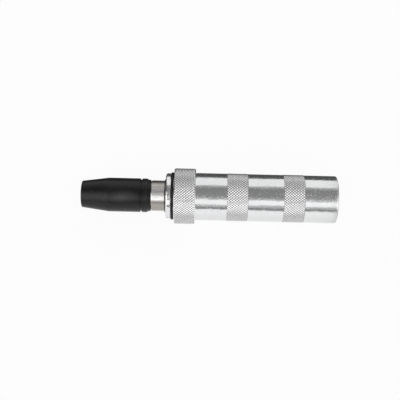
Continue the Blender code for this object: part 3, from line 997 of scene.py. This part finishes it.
# %% Windowed rear of the spindle
rear_mesh = frame["nodes"]["spindle"].data.copy()
work = merged(rear_mesh)
everything = work.verts[:] + work.edges[:] + work.faces[:]
seam, backward = (neck_end_x, 0, 0), (1, 0, 0)
bmesh.ops.bisect_plane(work, geom=everything, plane_co=seam, plane_no=backward, clear_inner=True)
bmesh.ops.holes_fill(work, edges=[edge for edge in work.edges if edge.is_boundary])
work.to_mesh(rear_mesh)
work.free()
rear = place("spindle_rear", rear_mesh, copy_crease_deg)
stand_for(rear, "spindle", "ground_steel", spindle_steel, "spindle")

# %% [markdown]
# ## Floor
# The driver lies on white paper. A plain white floor lit by soft light comes out grey, so for the camera the
# floor is mostly its own light, and the rest still takes a soft shadow. The metal mirrors white paper in
# front of the tool, with a little painted shade right at the tool, and a painted shadow that turns the paper
# dark from 15 to 22 mm behind the axis. That painted shadow is what draws the upper edge of the plated body
# against the white. Far in front the mirrored paper turns dark too, and joins the thin dark line at the
# horizon.

# %% Floor
floor_half = 3.0
floor_corners = [(-1, -1), (1, -1), (1, 1), (-1, 1)]
floor_mesh = bpy.data.meshes.new("paper_floor")
floor_mesh.from_pydata([(x * floor_half, y * floor_half, 0) for x, y in floor_corners], [], [(0, 1, 2, 3)])
floor = add_object("paper_floor", floor_mesh)
floor.location.z = -0.05 * mm
floor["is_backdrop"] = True

paper = Finish("white_paper", base_color=(0.92, 0.92, 0.92), roughness=0.9)
across = paper.part(paper.add("ShaderNodeTexCoord", output="Object"), "Y")
per_50_mm = 20  # a ramp runs from 0 to 1, so metres times 20 make it 50 mm long
# Painted shadow on the paper that the metal mirrors, 15 to 22 mm behind the axis
painted_shadow_behind = paper.ramp(across * per_50_mm, (0.30, 1.0), (0.44, 0.10))
# Painted shade on the mirrored paper right in front of the tool, and a darkening far in front that joins the
# horizon line
near_shade_and_far_dark = paper.ramp(across * -1, (0.0, 0.86), (0.06, 1.0), (0.40, 1.0), (0.65, 0.25))
mirrored_paper_and_shade = paper.mix(paper.ray("Glossy"), (1.0, 1.0, 1.0), painted_shadow_behind * near_shade_and_far_dark)
shown = paper.add("ShaderNodeEmission", {"Color": mirrored_paper_and_shade, "Strength": 1.0})
lit = Value(paper, paper.shader.outputs[0])
own_light = paper.ray("Camera") * 0.93 + paper.ray("Glossy") + paper.ray("Transmission")
result = paper.add("ShaderNodeMixShader", {0: own_light, 1: lit, 2: shown})
paper.links.new(result.socket, paper.nodes["Material Output"].inputs["Surface"])
floor_mesh.materials.append(paper.made())

# %% [markdown]
# ## Studio light
# Polished metal shows its surroundings, so the surroundings are the lighting. Seen along the bar, the room
# is a bright window in front, a dark ceiling above the camera, a bright wall behind and a thin dark line at
# the horizon. Each becomes a stripe along the body. The angle is measured round the bar from the front
# horizon. The facets of the knurl look along the bar too, and see the side walls. The right wall is brighter
# than the left one, so that each small pyramid has a bright and a dark side. Both walls are dimmer straight
# past the bar's ends, which the plain plate mirrors only when it is seen from there. Two wide lamps lie over
# the brightest stripes, and give the black holder its soft highlights.

# %% Room
room = bpy.data.worlds.new("studio")
bpy.context.scene.world = room
studio = Tree(room)
view = studio.add("ShaderNodeTexCoord", output="Generated")
sideways, above = studio.part(view, "X"), studio.part(view, "Z")
front = studio.part(view, "Y") * -1
half_turn = above.calculate("ARCTAN2", above, front) * (1 / np.pi)


def around(*levels):
    """How bright the room is at each angle from the front horizon, in degrees over the top to the back."""
    return studio.ramp(half_turn, *[(degrees / 180, level) for degrees, level in levels])


stripes = around(
    (0, 0.25), (7, 0.25), (12, 0.46), (24, 0.58), (48, 0.61), (56, 0.42), (60, 0.30), (70, 0.26),
    (100, 0.24), (107, 0.31), (113, 0.45), (118, 0.57), (164, 0.57), (170, 0.11),
)
left_wall = around(
    (0, 1.1), (15, 1.5), (30, 2.2), (60, 2.2), (80, 0.18), (128, 0.11), (150, 0.45), (175, 0.85)
)
right_wall = around(
    (0, 1.2), (15, 1.6), (30, 2.4), (60, 2.4), (80, 1.0), (128, 0.75), (150, 1.1), (175, 1.25)
)
to_right = studio.ramp(sideways * 0.5 + 0.5, (0.4, 0), (0.6, 1))
walls = left_wall * (1 - to_right) + right_wall * to_right
to_ends = sideways.calculate("ABSOLUTE", sideways)
walls = walls * studio.ramp(to_ends, (0.54, 1.0), (0.66, 0.50))
walls = walls * studio.ramp(sideways, (0.60, 1.0), (0.75, 0.55))
side = studio.ramp(to_ends, (0.20, 0), (0.36, 1))
sky = stripes * (1 - side) + walls * side
backdrop = studio.nodes["Background"]
studio.feed(backdrop.inputs["Color"], studio.mix(studio.ray("Camera"), sky, (1.0, 1.0, 1.0)))
studio.feed(backdrop.inputs["Strength"], 1.0)
print("the room has", len(studio.nodes), "nodes")


# %% Lamps
def softbox(name, from_front_deg, away, width, depth, level):
    """A long lamp over the driver, at an angle from the front horizon. level is how bright it looks."""
    lamp = bpy.data.lights.new(name, "AREA")
    lamp.shape = "RECTANGLE"
    lamp.size, lamp.size_y = width, depth
    lamp.energy = np.pi * width * depth * level
    box = add_object(name, lamp)
    angle = np.radians(from_front_deg)
    box.location = (0, -away * np.cos(angle), axis_z + away * np.sin(angle))
    box.rotation_euler = (Vector((0, 0, axis_z)) - box.location).to_track_quat("-Z", "Y").to_euler()
    print(name, "gives", round(lamp.energy, 2), "W")


softbox("window_box", from_front_deg=35.5, away=0.8, width=1.0, depth=0.34, level=0.45)
softbox("wall_box", from_front_deg=142.5, away=0.8, width=1.2, depth=0.73, level=0.37)

# %% [markdown]
# ## Camera
# The photograph looks down on the tool at about 60 degrees, from half a metre, with the camera turned by a
# little over a degree, so the driver runs slightly down to the right.

# %% Camera
elevation, roll = np.radians(60.0), np.radians(1.35)
distance = 518 * mm
aim_x, aim_below = -5.8 * mm, 2.24 * mm
forward = np.array([0, np.cos(elevation), -np.sin(elevation)])
right, upward = np.array([1.0, 0, 0]), np.array([0, np.sin(elevation), np.cos(elevation)])
rolled_right = right * np.cos(roll) + upward * np.sin(roll)
rolled_up = upward * np.cos(roll) - right * np.sin(roll)
aim = np.array([aim_x, 0, axis_z]) - rolled_up * aim_below
lens_data = bpy.data.cameras.new("photo_camera")
lens_data.lens = 70.65
lens_data.sensor_width = 36
lens_data.clip_start = 0.01
camera = add_object("photo_camera", lens_data)
placing = np.eye(4)
placing[:3, 0], placing[:3, 1], placing[:3, 2] = rolled_right, rolled_up, -forward
placing[:3, 3] = aim - forward * distance
camera.matrix_world = Matrix(placing.tolist())
bpy.context.scene.camera = camera
bpy.context.scene.view_settings.view_transform = "Standard"
print("camera stands at", [round(value / mm) for value in camera.matrix_world.translation], "mm")

# %% Sizes, and the end
sizes = {"cad": cad_bounds, "scene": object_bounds()}
for name, (low, high) in sizes.items():
    print(name, "measures", [round((b - a) / mm, 2) for a, b in zip(low, high)], "mm")
